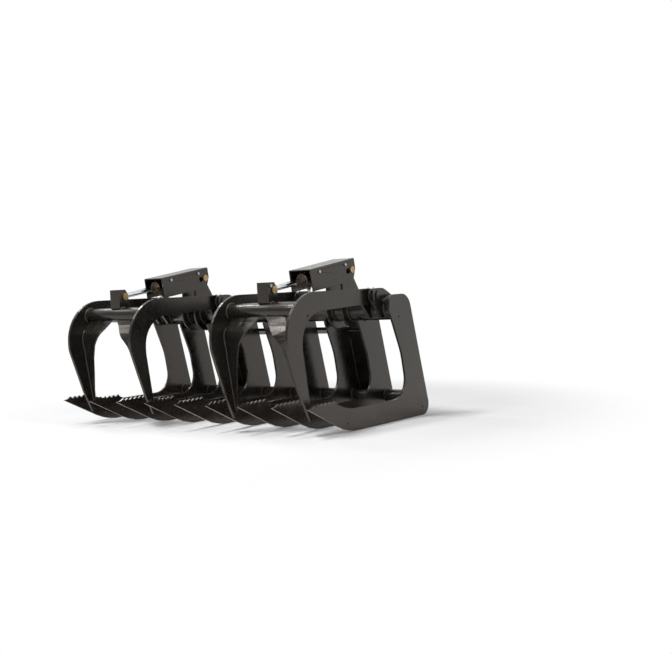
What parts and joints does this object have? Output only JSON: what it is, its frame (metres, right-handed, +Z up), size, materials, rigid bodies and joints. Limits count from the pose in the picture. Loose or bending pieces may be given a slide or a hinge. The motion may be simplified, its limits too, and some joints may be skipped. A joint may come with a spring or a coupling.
{
  "type": "root grapple attachment",
  "caption": "Two-arm root grapple: a floor of upright toothed plates on a cross tube, hinged clamp arms worked by guarded cylinders, with a coupler frame behind.",
  "frame": {"origin": "on the ground, under the middle of the object's width and of its depth", "axes": "+Z up; +X along the cross tube, to the right in the picture's front view; -Y towards the tips, +Y towards the loader"},
  "size_m": [1.829, 1.1172, 0.875],
  "materials": {
    "black_paint": "semi-gloss black powder coat over plate steel, worn at edges and tips",
    "chrome_rod": "hard-chromed and polished",
    "zinc": "yellow zinc plating, satin",
    "bright_steel": "bare and zinc-plated steel, satin",
    "gland_steel": "oiled brown steel, machined",
    "bronze": "plain bearing bronze, machined",
    "seal": "black moulded rubber, matt"
  },
  "bodies": {
    "frame": {"left_side_plate": "black_paint", "right_side_plate": "black_paint", "floor_tine_1": "black_paint", "floor_tine_2": "black_paint", "floor_tine_3": "black_paint", "floor_tine_4": "black_paint", "floor_tine_5": "black_paint", "floor_tine_6": "black_paint", "floor_tine_7": "black_paint", "cross_tube": "black_paint", "heel_pipe": "black_paint", "coupler_top_rail": "black_paint", "coupler_plates": "black_paint", "coupler_shelf": "black_paint", "left_hinge_ears": "black_paint", "right_hinge_ears": "black_paint", "left_hinge_pins": "black_paint", "right_hinge_pins": "black_paint", "left_tower_plates": "black_paint", "right_tower_plates": "black_paint", "left_base_pin": "zinc", "right_base_pin": "zinc", "hinge_pin_bolts": "bright_steel"},
    "left_arm": {"left_arm_outer_tine": "black_paint", "left_arm_inner_tine": "black_paint", "left_arm_flanges": "black_paint", "left_arm_tube": "black_paint", "left_rod_bracket": "black_paint", "left_rod_pin_ends": "zinc", "left_hinge_bushes": "bronze", "left_rod_pin_bolt": "bright_steel"},
    "right_arm": {"right_arm_outer_tine": "black_paint", "right_arm_inner_tine": "black_paint", "right_arm_flanges": "black_paint", "right_arm_tube": "black_paint", "right_rod_bracket": "black_paint", "right_rod_pin_ends": "zinc", "right_hinge_bushes": "bronze", "right_rod_pin_bolt": "bright_steel"},
    "left_barrel": {"left_barrel": "black_paint", "left_gland": "gland_steel", "left_gland_seal": "seal", "left_guard": "black_paint", "left_guard_bolts": "bright_steel", "left_port_fittings": "bright_steel"},
    "right_barrel": {"right_barrel": "black_paint", "right_gland": "gland_steel", "right_gland_seal": "seal", "right_guard": "black_paint", "right_guard_bolts": "bright_steel", "right_port_fittings": "bright_steel"},
    "left_rod": {"left_rod": "chrome_rod", "left_piston": "bright_steel", "left_piston_seal": "seal", "left_rod_pin_core": "zinc"},
    "right_rod": {"right_rod": "chrome_rod", "right_piston": "bright_steel", "right_piston_seal": "seal", "right_rod_pin_core": "zinc"}
  },
  "joints": [
    {"name": "left_arm_hinge", "type": "hinge", "parent": "frame", "child": "left_arm", "pos_m": [-0.55908, 0.15045, 0.666], "axis": [-1, 0, 0], "range_deg": [0, 60]},
    {"name": "left_barrel_swing", "type": "hinge", "parent": "frame", "child": "left_barrel", "pos_m": [-0.55908, 0.23045, 0.811], "axis": [-1, 0, 0], "range_deg": [0, 56.5]},
    {"name": "left_rod_slide", "type": "slide", "parent": "left_barrel", "child": "left_rod", "axis": [0, 0.9909, 0.1348], "range_m": [0, 0.1625]},
    {"name": "right_arm_hinge", "type": "hinge", "parent": "frame", "child": "right_arm", "pos_m": [0.55908, 0.15045, 0.666], "axis": [-1, 0, 0], "range_deg": [0, 60]},
    {"name": "right_barrel_swing", "type": "hinge", "parent": "frame", "child": "right_barrel", "pos_m": [0.55908, 0.23045, 0.811], "axis": [-1, 0, 0], "range_deg": [0, 56.5]},
    {"name": "right_rod_slide", "type": "slide", "parent": "right_barrel", "child": "right_rod", "axis": [0, 0.9909, 0.1348], "range_m": [0, 0.1625]}
  ],
  "couplings": [
    {"joint": "left_barrel_swing", "follows": "left_arm_hinge", "ratio": 0.932},
    {"joint": "left_rod_slide", "follows": "left_arm_hinge", "m_per_rad": 0.1545},
    {"joint": "right_barrel_swing", "follows": "right_arm_hinge", "ratio": 0.932},
    {"joint": "right_rod_slide", "follows": "right_arm_hinge", "m_per_rad": 0.1545}
  ]
}
